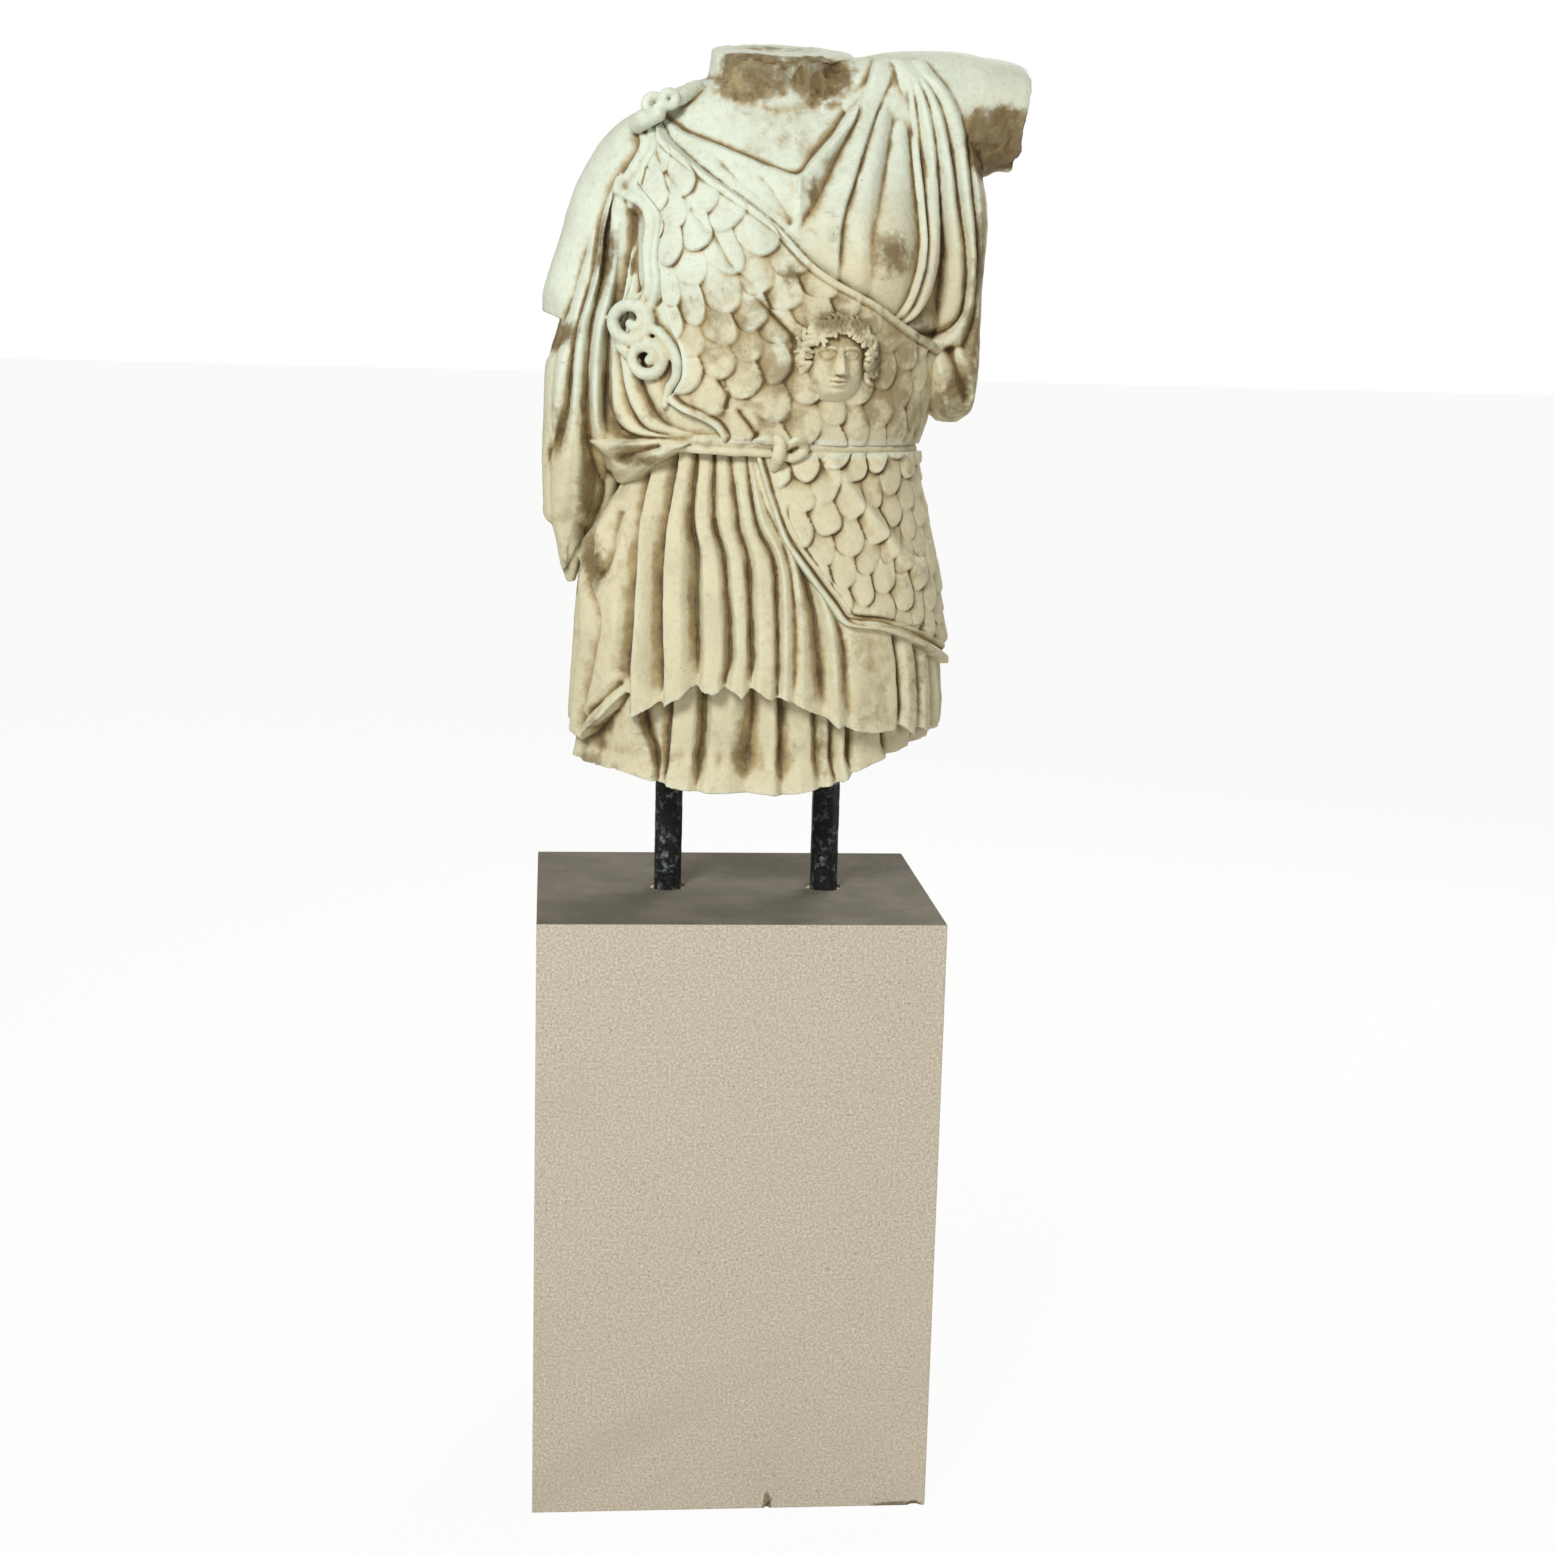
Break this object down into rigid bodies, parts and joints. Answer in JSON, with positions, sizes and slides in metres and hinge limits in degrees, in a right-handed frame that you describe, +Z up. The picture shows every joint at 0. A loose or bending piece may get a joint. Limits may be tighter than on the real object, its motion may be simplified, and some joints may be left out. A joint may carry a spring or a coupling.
{
  "type": "marble torso sculpture on plinth",
  "caption": "Draped marble torso without head and arms, in a belted pleated dress and a scaled breast-cape, held by iron rods over a stone plinth.",
  "frame": {"origin": "centre of the plinth's underside, on the floor", "axes": "+Z up, +X to the right of a viewer in front of the figure, +Y away from that viewer, so the carved front looks along -Y"},
  "size_m": [0.5918, 0.4, 1.8243],
  "materials": {
    "aged_marble": "weathered, satin, with brown dirt in the folds",
    "plinth_stone": "sawn and fine pitted, matt",
    "black_iron": "hammered and blackened, faint shine"
  },
  "bodies": {
    "root": {"marble_torso": "aged_marble", "rod_left": "black_iron", "rod_right": "black_iron", "plinth": "plinth_stone"}
  },
  "joints": []
}
